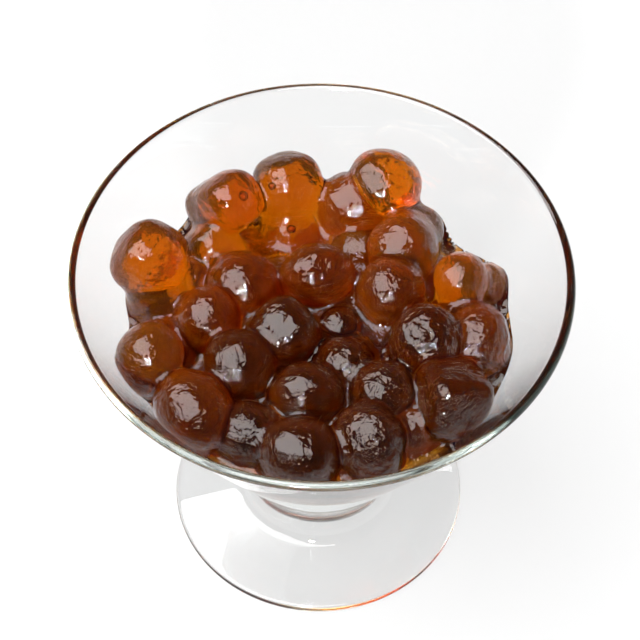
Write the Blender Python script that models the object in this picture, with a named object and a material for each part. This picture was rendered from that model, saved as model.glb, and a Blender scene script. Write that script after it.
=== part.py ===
"""A low footed glass dish, filled with cooked tapioca pearls in brown sugar syrup.

Three pieces, each one closed solid:
    glass   the flared bowl, its short solid stem and its foot, turned as one piece
    syrup   the syrup that fills the bowl up to its level
    pearls  the heap that stands out of the syrup: a low core with the pearls that show fused on

Metres, +Z up. The origin is the centre of the foot, on the surface that the dish stands on.
The front of the heap looks towards -Y. Every size below is in millimetres and is multiplied
by MM where a mesh is made.
"""

import math
import random

import bmesh
import bpy
from mathutils import Matrix, Vector, noise

MM = 0.001

# Driving dimensions of the glass, in millimetres
RIM_DIAMETER = 95.0
HEIGHT = 76.0
FOOT_DIAMETER = 60.2
LIP_THICKNESS = 1.9  # the fire-polished lip, a half circle in section
SHOULDER_RADIUS = 20.6  # where the straight outer wall of the bowl ends
SHOULDER_HEIGHT = 24.0
WAIST_RADIUS = 14.6  # the narrowest place of the stem
WAIST_HEIGHT = 10.0
STEM_FOOT_RADIUS = 17.6  # where the stem has run out into the foot
STEM_FOOT_HEIGHT = 4.4
FOOT_EDGE = 2.0  # thickness of the foot at its round edge
FOOT_FLAT_INNER_RADIUS = 24.0  # inside this ring the underside is hollowed
UNDERSIDE_HOLLOW = 7.0
INNER_CURVE_RADIUS = 31.83  # where the straight inner wall runs into the round bottom
INNER_CURVE_HEIGHT = 50.0
BOWL_BOTTOM_HEIGHT = 36.0  # inner bottom of the bowl, on the axis, over thick solid glass

# How far the handles of the section's curves reach along their tangents, in millimetres
WALL_FOOT_PULL = 8.0  # down the inner wall, into the round bottom
BOTTOM_PULL = 16.0  # out from the axis along the bottom
SHOULDER_PULL = 7.0  # down the outer wall, into the stem
ABOVE_WAIST_PULL = 3.5
BELOW_WAIST_PULL = 3.0
STEM_FOOT_PULL = (1.8, 0.5)  # inward and up, along the top of the foot
HOLLOW_EDGE_PULL = (12.0, 1.0)  # inward and up, from the ring that the foot stands on
HOLLOW_TOP_PULL = 5.0  # out from the axis along the top of the hollow
FOOT_EDGE_START = 80  # degrees on the round edge where the sloping top of the foot ends

# The filling, in millimetres
SYRUP_LEVEL = 57.5
SYRUP_SIDE_GAP = 1.0  # no point of the syrup's side is nearer than this below its level
GAP = 0.3  # kept between neighbouring pieces
GLASS_GAP = 1.2 * GAP  # kept between a pearl and the glass, a little more as both are faceted
CORE_RADIUS = 33.5  # the low dome under the pearls, where it meets the syrup
CORE_RISE = 3.6
CORE_SKIRT = 2.0  # how far the dome reaches below its edge before the heap is cut level
CUTTER_DEPTH = 30.0
HEAP_HEIGHT = 62.0  # height of a pearl's centre where the list below adds nothing
LUMP = 0.035  # unevenness of a pearl, as a share of its radius
LUMPS_ACROSS = 1.4  # lumps along one radius
STRETCH = 0.04  # how far a pearl is longer or shorter than its form, as a share
BLOCK_POWER = 3.4  # 2 is a ball; higher is nearer to a cube with round corners
BLOCK_SIZE = 0.93

# How far a pearl leans and turns at most, and how its poles are laid over, in radians
LEAN = 0.35
TURN = 0.3
ROLL = 0.6
SEED = 7
SEED_SPREAD = 50.0  # the pearls take their lumps from places this far apart in the noise

# Steps along the stretches of the sections, sides of the turned pieces, and cuts across each
# face of the cube that a pearl is blown from
CURVE_STEPS = 6
STEM_FOOT_STEPS = 4
HOLLOW_STEPS = 6
FOOT_TOP_STEPS = 3
FOOT_EDGE_STEPS = 5
TURN_SIDES = 48
CORE_SIDES = 32
PEARL_CUTS = 3
SHARP_ANGLE = math.radians(35)  # edges that turn by more than this stay sharp

# Points nearer than these are one point, in metres
TURN_WELD = 0.00001
SHELL_WELD = 0.00002
SLIVER = 0.00001

# Colour and roughness of each piece
GLASS_LOOK = ((0.86, 0.90, 0.89), 0.03)
SYRUP_LOOK = ((0.055, 0.012, 0.003), 0.05)
PEARL_LOOK = ((0.20, 0.055, 0.010), 0.12)

# The pearls that show. Each has its bearing round the dish in degrees from +X towards +Y,
# its reach from the axis, its diameter, its lift above the heap's height, and its form.
# Soft pearls press into each other, so neighbours lie a little closer than they measure.
AGAINST_THE_GLASS = [
    (18, 33.5, 8.0, -3.0, "round"),
    (51, 30.0, 10.5, -3.0, "round"),
    (67, 32.0, 12.5, 4.5, "block"),
    (78, 28.0, 13.5, -0.5, "round"),
    (103, 30.5, 13.0, 2.5, "round"),
    (127, 30.0, 11.0, 5.0, "long"),
    (129, 34.0, 10.5, 1.0, "round"),
    (165, 34.5, 13.5, 5.5, "round"),
    (171, 31.0, 11.0, -1.5, "round"),
    (203, 36.5, 9.5, 1.5, "round"),
    (201, 34.0, 12.0, 3.5, "round"),
    (224, 32.5, 14.5, 0.5, "wide"),
    (243, 29.0, 12.0, -2.0, "round"),
    (263, 31.0, 13.5, -0.5, "wide"),
    (288, 29.5, 13.0, -0.5, "long"),
    (306, 29.5, 9.5, -2.5, "round"),
    (322, 32.0, 15.5, 1.0, "block"),
    (351, 30.5, 12.0, -0.5, "wide"),
]
BETWEEN = [
    (16, 28.0, 10.5, 2.0, "round"),
    (45, 22.5, 13.0, 1.0, "round"),
    (69, 19.0, 9.0, -3.0, "round"),
    (105, 24.5, 10.0, -3.5, "round"),
    (141, 27.5, 10.5, -2.0, "round"),
    (157, 27.5, 8.0, -3.0, "round"),
    (192, 30.5, 12.0, -4.0, "round"),
    (2, 27.0, 10.5, -3.5, "round"),
    (155, 16.5, 13.5, 0.0, "round"),
    (184, 21.5, 12.0, 0.5, "round"),
    (219, 19.5, 13.0, 0.5, "round"),
    (262, 18.5, 12.5, 0.0, "wide"),
    (305, 21.0, 11.5, -0.5, "round"),
    (333, 18.0, 9.5, -5.0, "round"),
    (341, 21.0, 13.0, 2.5, "round"),
]
IN_THE_MIDDLE = [
    (22, 14.5, 12.5, 1.0, "round"),
    (55, 8.5, 8.0, -4.0, "round"),
    (94, 8.5, 12.5, 2.0, "wide"),
    (125, 13.5, 8.0, -3.5, "round"),
    (191, 13.0, 7.5, -3.5, "round"),
    (217, 8.5, 12.0, 2.0, "round"),
    (265, 6.0, 7.5, -3.5, "round"),
    (295, 11.5, 10.5, -1.5, "round"),
    (357, 3.5, 6.5, -2.5, "round"),
]
PEARLS = AGAINST_THE_GLASS + BETWEEN + IN_THE_MIDDLE

# Size away from the axis, round it and upward, for each form, as a share of the diameter
FORMS = {
    "round": (1.0, 1.0, 1.0),
    "long": (1.14, 0.9, 1.04),
    "wide": (0.93, 1.12, 0.97),
    "block": (1.0, 1.0, 1.0),
}


def clear_scene():
    """Removes whatever the file holds, so that the script can be run again."""
    for thing in list(bpy.data.objects):
        bpy.data.objects.remove(thing, do_unlink=True)


def principled(name, colour, roughness, metallic=0.0):
    """A Principled BSDF material with the piece's colour, roughness and metallic value."""
    material = bpy.data.materials.new(name)
    material.use_nodes = True
    shader = material.node_tree.nodes["Principled BSDF"]
    shader.inputs["Base Color"].default_value = (*colour, 1.0)
    shader.inputs["Roughness"].default_value = roughness
    shader.inputs["Metallic"].default_value = metallic
    material.diffuse_color = (*colour, 1.0)
    return material


def curve(start, start_pull, end_pull, end, steps):
    """Points of a cubic Bezier curve between two (radius, height) points, both included."""
    points = []
    for step in range(steps + 1):
        t = step / steps
        weights = ((1 - t) ** 3, 3 * t * (1 - t) ** 2, 3 * t * t * (1 - t), t**3)
        ends = (start, start_pull, end_pull, end)
        points.append(tuple(sum(w * p[axis] for w, p in zip(weights, ends)) for axis in (0, 1)))
    return points


def arc(centre, radius, from_degrees, to_degrees, steps):
    """Points of a circle's arc in the (radius, height) plane, both ends included."""
    points = []
    for step in range(steps + 1):
        angle = math.radians(from_degrees + (to_degrees - from_degrees) * step / steps)
        points.append((centre[0] + radius * math.cos(angle), centre[1] + radius * math.sin(angle)))
    return points


def straight(start, end, steps):
    """Evenly spaced points from start to end, both included."""
    return [
        tuple(a + (b - a) * step / steps for a, b in zip(start, end)) for step in range(steps + 1)
    ]


LIP_HEIGHT = HEIGHT - LIP_THICKNESS / 2
LIP_OUTSIDE = (RIM_DIAMETER / 2, LIP_HEIGHT)
LIP_INSIDE = (RIM_DIAMETER / 2 - LIP_THICKNESS, LIP_HEIGHT)
SHOULDER = (SHOULDER_RADIUS, SHOULDER_HEIGHT)
INNER_CURVE = (INNER_CURVE_RADIUS, INNER_CURVE_HEIGHT)
WALL_RUN = (LIP_INSIDE[0] - INNER_CURVE[0]) / (LIP_INSIDE[1] - INNER_CURVE[1])
WALL_SINE = 1 / math.hypot(1, WALL_RUN)  # sine of the inner wall's slope


def wall_radius(height):
    """Inner radius of the bowl at a height on its straight wall."""
    return INNER_CURVE[0] + (height - INNER_CURVE[1]) * WALL_RUN


def bowl_inside():
    """The inside of the bowl, from its bottom on the axis up to the lip."""
    wall_foot = (INNER_CURVE[0] - WALL_FOOT_PULL * WALL_RUN, INNER_CURVE[1] - WALL_FOOT_PULL)
    bottom_start = (0.0, BOWL_BOTTOM_HEIGHT)
    bottom_pull = (BOTTOM_PULL, BOWL_BOTTOM_HEIGHT)
    bottom = curve(bottom_start, bottom_pull, wall_foot, INNER_CURVE, CURVE_STEPS)
    return bottom + straight(INNER_CURVE, LIP_INSIDE, CURVE_STEPS)[1:]


def glass_outline():
    """Half section of the whole glass: up the inside, over the lip, down the outside."""
    lip_centre = ((LIP_OUTSIDE[0] + LIP_INSIDE[0]) / 2, LIP_HEIGHT)
    lip = arc(lip_centre, LIP_THICKNESS / 2, 180, 0, CURVE_STEPS)
    outer_wall = straight(LIP_OUTSIDE, SHOULDER, CURVE_STEPS)
    slope = (LIP_OUTSIDE[0] - SHOULDER[0]) / (LIP_OUTSIDE[1] - SHOULDER[1])
    below_shoulder = (SHOULDER[0] - SHOULDER_PULL * slope, SHOULDER[1] - SHOULDER_PULL)
    waist = (WAIST_RADIUS, WAIST_HEIGHT)
    above_waist = (WAIST_RADIUS, WAIST_HEIGHT + ABOVE_WAIST_PULL)
    under_waist = (WAIST_RADIUS, WAIST_HEIGHT - BELOW_WAIST_PULL)
    stem_foot = (STEM_FOOT_RADIUS, STEM_FOOT_HEIGHT)
    before_foot = (STEM_FOOT_RADIUS - STEM_FOOT_PULL[0], STEM_FOOT_HEIGHT + STEM_FOOT_PULL[1])
    upper_stem = curve(SHOULDER, below_shoulder, above_waist, waist, CURVE_STEPS)
    lower_stem = curve(waist, under_waist, before_foot, stem_foot, STEM_FOOT_STEPS)
    edge_centre = (FOOT_DIAMETER / 2 - FOOT_EDGE / 2, FOOT_EDGE / 2)
    edge = arc(edge_centre, FOOT_EDGE / 2, FOOT_EDGE_START, -90, FOOT_EDGE_STEPS)
    foot_top = straight(stem_foot, edge[0], FOOT_TOP_STEPS)
    hollow_start = (FOOT_FLAT_INNER_RADIUS, 0.0)
    hollow_pull = (FOOT_FLAT_INNER_RADIUS - HOLLOW_EDGE_PULL[0], HOLLOW_EDGE_PULL[1])
    top_pull = (HOLLOW_TOP_PULL, UNDERSIDE_HOLLOW)
    hollow_top = (0.0, UNDERSIDE_HOLLOW)
    underside = curve(hollow_start, hollow_pull, top_pull, hollow_top, HOLLOW_STEPS)
    return (
        bowl_inside()
        + lip[1:]
        + outer_wall[1:]
        + upper_stem[1:]
        + lower_stem[1:]
        + foot_top[1:]
        + edge[1:]
        + underside
    )


def moved_inward(outline, distance):
    """The bowl's inside moved into the hollow by a distance, square to itself."""
    moved = []
    for index, (radius, height) in enumerate(outline):
        before = outline[max(index - 1, 0)]
        after = outline[min(index + 1, len(outline) - 1)]
        along = Vector((after[0] - before[0], after[1] - before[1])).normalized()
        moved.append((radius - distance * along.y, height + distance * along.x))
    moved[0] = (0.0, outline[0][1] + distance)
    return moved


def syrup_outline():
    """Half section of the syrup: out along its level, then down beside the bowl's inside."""
    side = moved_inward(bowl_inside(), GAP)
    edge = (wall_radius(SYRUP_LEVEL) - GAP / WALL_SINE, SYRUP_LEVEL)
    below = [point for point in side if point[1] < SYRUP_LEVEL - SYRUP_SIDE_GAP]
    return [(0.0, SYRUP_LEVEL), (edge[0] / 2, SYRUP_LEVEL), edge] + below[::-1]


def core_outline():
    """Half section of the heap's core: a low dome that reaches a little below the syrup."""
    base = SYRUP_LEVEL + GAP
    dome = []
    for step in range(CURVE_STEPS + 1):
        angle = math.radians(90 * (1 - step / CURVE_STEPS))
        dome.append((CORE_RADIUS * math.cos(angle), base + CORE_RISE * math.sin(angle)))
    dome[0] = (0.0, dome[0][1])
    return dome + [(CORE_RADIUS, base - CORE_SKIRT), (0.0, base - CORE_SKIRT)]


def turned(name, outline, sides):
    """Turns a half section round the Z axis with a Screw modifier, and applies it."""
    mesh = bpy.data.meshes.new(name)
    points = [(radius * MM, 0.0, height * MM) for radius, height in outline]
    edges = [(index, index + 1) for index in range(len(points) - 1)]
    mesh.from_pydata(points, edges, [])
    thing = bpy.data.objects.new(name, mesh)
    bpy.context.scene.collection.objects.link(thing)
    screw = thing.modifiers.new("turned", "SCREW")
    screw.axis = "Z"
    screw.steps = sides
    screw.render_steps = sides
    screw.use_merge_vertices = True
    screw.merge_threshold = TURN_WELD
    screw.use_smooth_shade = True
    apply_modifiers(thing)
    thing.data.set_sharp_from_angle(angle=SHARP_ANGLE)
    return thing


def apply_modifiers(thing):
    """Replaces an object's mesh by what its modifiers make of it."""
    evaluated = thing.evaluated_get(bpy.context.evaluated_depsgraph_get())
    mesh = bpy.data.meshes.new_from_object(evaluated)
    thing.modifiers.clear()
    thing.data = mesh
    mesh.name = thing.name


def listed_pearls():
    """Centre, radius and form of every listed pearl."""
    pearls = []
    for bearing, reach, diameter, lift, form in PEARLS:
        angle = math.radians(bearing)
        height = HEAP_HEIGHT + lift
        centre = Vector((reach * math.cos(angle), reach * math.sin(angle), height))
        pearls.append((centre, diameter / 2, form))
    return pearls


def pearl_mesh(index, centre, radius, form, rng):
    """One pearl: a ball stretched to its form, made uneven and pressed flat by the glass."""
    mesh = bpy.data.meshes.new(f"pearl_{index:02d}")
    ball = bmesh.new()
    bmesh.ops.create_cube(ball, size=2.0)
    bmesh.ops.subdivide_edges(ball, edges=ball.edges, cuts=PEARL_CUTS, use_grid_fill=True)
    bearing = math.atan2(centre.y, centre.x)
    tilt = Matrix.Rotation(rng.uniform(-LEAN, LEAN), 3, "X")
    turn = Matrix.Rotation(bearing + rng.uniform(-TURN, TURN), 3, "Z") @ tilt
    roll = Matrix.Rotation(rng.uniform(0, math.tau), 3, "Z") @ Matrix.Rotation(ROLL, 3, "Y")
    stretch = [share * rng.uniform(1 - STRETCH, 1 + STRETCH) for share in FORMS[form]]
    seed = Vector([rng.uniform(0, SEED_SPREAD) for axis in "xyz"])
    for vert in ball.verts:
        way = roll @ Vector([math.tan(part * math.pi / 4) for part in vert.co]).normalized()
        size = 1 + LUMP * noise.noise(way * LUMPS_ACROSS + seed)
        if form == "block":
            total = sum(abs(part) ** BLOCK_POWER for part in way)
            size *= BLOCK_SIZE * total ** (-1 / BLOCK_POWER)
        place = turn @ Vector([part * share for part, share in zip(way, stretch)])
        place = centre + place * (radius * size)
        room = wall_radius(place.z) * math.cos(math.pi / TURN_SIDES) - GLASS_GAP / WALL_SINE
        reach = math.hypot(place.x, place.y)
        if reach > room:
            place.x *= room / reach
            place.y *= room / reach
        vert.co = place * MM
    bmesh.ops.recalc_face_normals(ball, faces=ball.faces)
    ball.to_mesh(mesh)
    ball.free()
    return mesh


def keep_outer_shell(mesh):
    """Keeps the largest closed shell of a mesh: fills sealed hollows and drops loose scraps."""
    body = bmesh.new()
    body.from_mesh(mesh)
    bmesh.ops.remove_doubles(body, verts=body.verts, dist=SHELL_WELD)
    bmesh.ops.dissolve_degenerate(body, edges=body.edges, dist=SLIVER)
    left = set(body.faces)
    shells = []
    while left:
        shell = set()
        border = [left.pop()]
        while border:
            face = border.pop()
            shell.add(face)
            for edge in face.edges:
                for neighbour in edge.link_faces:
                    if neighbour in left:
                        left.discard(neighbour)
                        border.append(neighbour)
        shells.append(shell)
    largest = max(shells, key=len)
    extra = [face for shell in shells if shell is not largest for face in shell]
    bmesh.ops.delete(body, geom=extra, context="FACES")
    bmesh.ops.triangulate(body, faces=body.faces)
    body.to_mesh(mesh)
    body.free()


def boolean(thing, operation, **operand):
    """Adds an exact Boolean modifier and applies it."""
    modifier = thing.modifiers.new(operation.lower(), "BOOLEAN")
    modifier.operation = operation
    modifier.solver = "EXACT"
    for name, value in operand.items():
        setattr(modifier, name, value)
    apply_modifiers(thing)


def heap_of_pearls():
    """The core with the pearls that show fused on, cut level just above the syrup."""
    heap = turned("pearls", core_outline(), CORE_SIDES)
    rng = random.Random(SEED)
    group = bpy.data.collections.new("pearls to fuse")
    bpy.context.scene.collection.children.link(group)
    for index, (centre, radius, form) in enumerate(listed_pearls()):
        mesh = pearl_mesh(index, centre, radius, form, rng)
        group.objects.link(bpy.data.objects.new(mesh.name, mesh))
    boolean(heap, "UNION", operand_type="COLLECTION", collection=group)
    for pearl in list(group.objects):
        bpy.data.objects.remove(pearl, do_unlink=True)
    bpy.data.collections.remove(group)
    cutter = below_the_heap()
    boolean(heap, "DIFFERENCE", operand_type="OBJECT", object=cutter)
    bpy.data.objects.remove(cutter, do_unlink=True)
    keep_outer_shell(heap.data)
    heap.data.shade_smooth()
    heap.data.set_sharp_from_angle(angle=SHARP_ANGLE)
    return heap


def below_the_heap():
    """A block that takes away what reaches below the heap's flat underside."""
    mesh = bpy.data.meshes.new("below_the_heap")
    block = bmesh.new()
    top = (SYRUP_LEVEL + GAP) * MM
    depth = CUTTER_DEPTH * MM
    wide = (RIM_DIAMETER + CUTTER_DEPTH) * MM
    bmesh.ops.create_cube(block, size=1.0)
    bmesh.ops.scale(block, vec=(wide, wide, depth), verts=block.verts)
    bmesh.ops.translate(block, vec=(0.0, 0.0, top - depth / 2), verts=block.verts)
    block.to_mesh(mesh)
    block.free()
    cutter = bpy.data.objects.new("below_the_heap", mesh)
    cutter.hide_render = True
    cutter.display_type = "WIRE"
    bpy.context.scene.collection.objects.link(cutter)
    return cutter


def main():
    """Builds the dish and hangs its pieces on one empty at the centre of the foot."""
    clear_scene()
    glass = turned("glass", glass_outline(), TURN_SIDES)
    syrup = turned("syrup", syrup_outline(), TURN_SIDES)
    pearls = heap_of_pearls()
    glass.data.materials.append(principled("clear glass", *GLASS_LOOK))
    syrup.data.materials.append(principled("brown sugar syrup", *SYRUP_LOOK))
    pearls.data.materials.append(principled("tapioca pearls", *PEARL_LOOK))
    dish = bpy.data.objects.new("dish_of_pearls", None)
    bpy.context.scene.collection.objects.link(dish)
    for piece in (glass, syrup, pearls):
        piece.parent = dish


main()
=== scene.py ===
# %% [markdown]
# # Tapioca pearls in syrup, in a footed glass dish
#
# The real object is a small clear dessert glass, filled with cooked tapioca pearls that lie in
# brown sugar syrup. Almost nothing in it is opaque: what the eye sees is light that was bent,
# dimmed or mirrored. So this lesson builds true closed surfaces of glass, syrup and pearl, each
# at its real place, and leaves the colours to the depth of what the light goes through.
#
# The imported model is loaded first. It fixes where everything is, and nothing in it is moved.

# %% Load the frame
import itertools
import math

import bpy
import numpy as np
from mathutils import Matrix, Vector


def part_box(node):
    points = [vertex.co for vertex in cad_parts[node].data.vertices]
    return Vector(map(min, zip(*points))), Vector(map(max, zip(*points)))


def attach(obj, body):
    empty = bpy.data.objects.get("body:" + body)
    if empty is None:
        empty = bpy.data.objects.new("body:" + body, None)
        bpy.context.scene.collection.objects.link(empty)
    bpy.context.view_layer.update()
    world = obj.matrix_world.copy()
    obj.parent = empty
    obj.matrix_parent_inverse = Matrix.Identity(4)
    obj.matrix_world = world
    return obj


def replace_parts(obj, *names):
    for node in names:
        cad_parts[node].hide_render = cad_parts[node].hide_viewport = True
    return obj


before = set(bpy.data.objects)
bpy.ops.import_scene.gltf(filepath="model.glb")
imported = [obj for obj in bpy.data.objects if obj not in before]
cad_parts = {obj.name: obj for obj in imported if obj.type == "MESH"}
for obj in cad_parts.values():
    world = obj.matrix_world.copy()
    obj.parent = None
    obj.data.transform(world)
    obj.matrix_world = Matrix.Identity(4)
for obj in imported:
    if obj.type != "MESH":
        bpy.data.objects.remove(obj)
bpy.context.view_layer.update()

print("nodes:", sorted(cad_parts))

# %% [markdown]
# ## Sizes
#
# The rim, the height and the syrup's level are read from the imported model, so that the looks
# stay fitted to it. What the model's box can't tell, such as the wall's thickness, is named here
# once. All shapes below are worked out in millimetres, and MM turns them into Blender's metres.

# %% Sizes of the dish and its filling
MM = 0.001
glass_high = np.array(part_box("glass")[1]) / MM
RIM_RADIUS = float(glass_high[0])
HEIGHT = float(glass_high[2])
SYRUP_LEVEL = float(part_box("syrup")[1].z) / MM
LIP_THICKNESS = 1.9
SHOULDER = np.array((20.6, 24.0))  # radius and height where the outer wall ends
WAIST = np.array((14.6, 10.0))  # the narrowest place of the stem
STEM_FOOT = np.array((17.6, 4.4))  # where the stem has run out into the foot
FOOT_RADIUS = 30.1
FOOT_EDGE = 2.0
FOOT_FLAT_INNER_RADIUS = 24.0
UNDERSIDE_HOLLOW = 7.0
INNER_CURVE = np.array((31.83, 50.0))  # where the inner wall runs into the round bottom
BOWL_BOTTOM = np.array((0.0, 36.0))
LIP_HEIGHT = HEIGHT - LIP_THICKNESS / 2
LIP_OUTSIDE = np.array((RIM_RADIUS, LIP_HEIGHT))
LIP_INSIDE = np.array((RIM_RADIUS - LIP_THICKNESS, LIP_HEIGHT))
WALL_RUN = float((LIP_INSIDE[0] - INNER_CURVE[0]) / (LIP_INSIDE[1] - INNER_CURVE[1]))
WALL_SINE = 1 / math.hypot(1, WALL_RUN)
print(f"rim {2 * RIM_RADIUS:.1f} mm, height {HEIGHT:.1f} mm, syrup up to {SYRUP_LEVEL:.1f} mm")

# %% [markdown]
# ## Two helpers for every surface
#
# A turned glass and a ball are the same thing to a modeller: rows of points round an axis, closed
# by one point at either end. The first helper numbers the faces of such a surface. The second
# hands whole arrays of points and faces to Blender, which is much faster than adding them one by
# one.


# %% Helpers that make meshes
def wrapped_faces(rows, columns, first=0):
    """Faces of rows that run round an axis, with a point at either end to close them.

    Point `first` closes the start, then come rows times columns points, then the closing point.
    A face joins point j of a row with point j of the next row and with their neighbours at j + 1.
    """
    ring = first + 1 + np.arange(rows * columns).reshape(rows, columns)
    ahead = np.roll(ring, -1, axis=1)
    quads = np.stack([ring[:-1], ring[1:], ahead[1:], ahead[:-1]], axis=-1).reshape(-1, 4)
    start = np.full(columns, first)
    end = np.full(columns, first + 1 + rows * columns)
    caps = [np.stack([start, ring[0], ahead[0]], -1), np.stack([ring[-1], end, ahead[-1]], -1)]
    return quads.tolist() + np.concatenate(caps).tolist()


def make_piece(name, points, faces, material):
    """A smooth mesh object from points in millimetres, riding on the dish."""
    mesh = bpy.data.meshes.new(name)
    mesh.from_pydata((np.asarray(points) * MM).tolist(), [], faces)
    mesh.shade_smooth()
    mesh.materials.append(material)
    piece = bpy.data.objects.new(name, mesh)
    bpy.context.scene.collection.objects.link(piece)
    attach(piece, "root")
    triangles = sum(len(face.vertices) - 2 for face in mesh.polygons)
    print(f"{name}: {len(mesh.vertices)} points, {triangles} triangles")
    return piece


# %% [markdown]
# ## Uneven values
#
# Food is never quite round or quite smooth. A field of random numbers on a lattice, blended
# between its corners, gives values that swell and sink over a chosen length. It is used for the
# lumps of the pearls, for their wrinkles and for the ripples of the syrup. The numbers are seeded,
# so each run gives the same dish.


# %% A helper for uneven values
def uneven(points, length, seed):
    """Values from -1 to 1 that change smoothly over a length in millimetres.

    Each point finds its cube in a lattice of random numbers. The eight corners are blended with
    the weights 6t^5 - 15t^4 + 10t^3 of its place in the cube, which have no kinks.
    """
    cells = 32
    table = np.random.default_rng(seed).uniform(-1, 1, (cells, cells, cells))
    place = points / length
    cell = np.floor(place).astype(int)
    part = place - cell
    part = part**3 * (part * (part * 6 - 15) + 10)
    total = np.zeros(len(points))
    for corner in itertools.product((0, 1), repeat=3):
        weight = np.prod(np.where(np.array(corner, bool), part, 1 - part), axis=-1)
        i, j, k = ((cell + corner) % cells).T
        total += weight * table[i, j, k]
    return total


def soft_min(a, b, width):
    """The smaller of two values, rounded where they differ by less than a width."""
    overlap = np.maximum(width - np.abs(a - b), 0) / width
    return np.minimum(a, b) - overlap**2 * width / 4


# %% [markdown]
# ## Clear materials
#
# Glass, syrup and pearls share one recipe: a Principled shader that lets light through and bends
# it, and a volume that takes colour away with depth. The syrup takes blue away fastest and red
# slowest. A thin layer of it is yellow, a thicker one amber, and a deep one brown, as in the real
# dish. The three numbers are the light lost in each millimetre, in red, green and blue.
#
# A cooked pearl is also a little milky: a small part of the light turns back at its surface
# instead of going in, and gives the darkest pearls their brown. Its colour is painted lighter
# towards its edge, where it is seen from the side: a painted glow for the light that shines
# through its thinner edge.
#
# Two noises in the bump break up the mirrored lights: fine waves nearly everywhere, and stronger
# ones on the pearls whose skin has wrinkled in cooking. The syrup's mesh tells the shader how
# strong either is, with two values on each of its points.


# %% Materials
def clear_material(name, index, lost_per_mm, body=(1, 1, 1), milky=0.0, painted_edge_glow=None):
    """A see-through material: how strongly it bends light, what a millimetre takes away, and how
    much of the light its milky body turns back, in which colour. The colour may turn into a
    painted edge glow, a lighter colour that stands in for light shining through, where the
    surface is seen from the side."""
    material = bpy.data.materials.new(name)
    material.use_nodes = True
    nodes, links = material.node_tree.nodes, material.node_tree.links
    shader = nodes["Principled BSDF"]
    shader.inputs["Base Color"].default_value = (*body, 1)
    # Painted edge glow: the base colour turns lighter where the surface is seen from the side, standing
    # in for light that shines through the pearl's edge.
    if painted_edge_glow:
        facing = nodes.new("ShaderNodeLayerWeight")
        ramp = nodes.new("ShaderNodeValToRGB")
        for element, place, colour in zip(ramp.color_ramp.elements, PAINTED_EDGE_GLOW_PLACES, (body, painted_edge_glow)):
            element.position, element.color = place, (*colour, 1)
        links.new(facing.outputs["Facing"], ramp.inputs["Fac"])
        links.new(ramp.outputs["Color"], shader.inputs["Base Color"])
    shader.inputs["Roughness"].default_value = 0.0
    shader.inputs["IOR"].default_value = index
    shader.inputs["Transmission Weight"].default_value = 1 - milky
    depth = nodes.new("ShaderNodeVolumeAbsorption")
    densest = max(lost_per_mm)
    kept = [1 - lost / densest for lost in lost_per_mm]
    depth.inputs["Color"].default_value = (*kept, 1)
    depth.inputs["Density"].default_value = densest / MM
    links.new(depth.outputs["Volume"], nodes["Material Output"].inputs["Volume"])
    return material


def add_waves(material, length, height, strength_name, before=None):
    """A bump of noise on a material: its waves' length and height in millimetres, and the name
    of the value on the mesh that says how strong it is at each point."""
    nodes, links = material.node_tree.nodes, material.node_tree.links
    where = nodes.new("ShaderNodeTexCoord")
    noise = nodes.new("ShaderNodeTexNoise")
    noise.inputs["Scale"].default_value = 1 / (length * MM)
    noise.inputs["Detail"].default_value = NOISE_DETAIL
    relief = nodes.new("ShaderNodeBump")
    relief.inputs["Distance"].default_value = height * MM
    strength = nodes.new("ShaderNodeAttribute")
    strength.attribute_name = strength_name
    links.new(strength.outputs["Fac"], relief.inputs["Strength"])
    links.new(where.outputs["Object"], noise.inputs["Vector"])
    links.new(noise.outputs["Fac"], relief.inputs["Height"])
    if before:
        links.new(before.outputs["Normal"], relief.inputs["Normal"])
    links.new(relief.outputs["Normal"], nodes["Principled BSDF"].inputs["Normal"])
    return relief


PAINTED_EDGE_GLOW_PLACES = 0.03, 0.26  # how much from the side the painted edge glow starts and is whole
NOISE_DETAIL = 2.0
WAVES = "waves"  # name of a value on the mesh, from 0 to 1: how strong the fine waves are
WAVE_LENGTH = 1.6
WAVE_HEIGHT = 0.40
WRINKLE = "wrinkle"  # and of another: 1 on the pearls with a wrinkled skin, 0 elsewhere
WRINKLE_LENGTH = 1.4
WRINKLE_HEIGHT = 0.60
GLASS_INDEX = 1.52
GLASS_LOST = (0.002, 0.0008, 0.0013)
SYRUP_INDEX = 1.45
SYRUP_LOST = (0.030, 0.075, 0.30)
SYRUP_BODY = (0.80, 0.42, 0.12)
PEARL_INDEX = 1.03  # how much more strongly a pearl bends light than the syrup around it
# The paler recipes are partly painted light: they go to the pearls at the back, which light shines
# through from behind, and the darker ones are partly painted shade.
PEARL_RECIPES = {  # lost in a millimetre, colour of the body, how milky it is, colour of the painted edge glow
    "amber": ((0.004, 0.012, 0.05), (0.97, 0.72, 0.20), 0.08, (1.00, 0.80, 0.22)),
    "honey": ((0.030, 0.045, 0.08), (0.82, 0.46, 0.12), 0.13, (0.97, 0.66, 0.16)),
    "brown": ((0.055, 0.090, 0.12), (0.68, 0.33, 0.08), 0.14, (0.96, 0.58, 0.12)),
    "umber": ((0.060, 0.080, 0.12), (0.42, 0.14, 0.03), 0.18, (0.86, 0.36, 0.06)),
    "dark": ((0.100, 0.125, 0.18), (0.27, 0.087, 0.025), 0.13, (0.62, 0.24, 0.05)),
    "sunk": ((0.050, 0.070, 0.12), (0.60, 0.25, 0.06), 0.45),
}
glass_look = clear_material("clear_glass", GLASS_INDEX, GLASS_LOST)
syrup_look = clear_material("brown_sugar_syrup", SYRUP_INDEX, SYRUP_LOST, SYRUP_BODY)
gentle = add_waves(syrup_look, WAVE_LENGTH, WAVE_HEIGHT, WAVES)
add_waves(syrup_look, WRINKLE_LENGTH, WRINKLE_HEIGHT, WRINKLE, before=gentle)
PEARL_LOOKS = {
    look: clear_material(f"{look}_pearl", PEARL_INDEX, *recipe)
    for look, recipe in PEARL_RECIPES.items()
}

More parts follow.
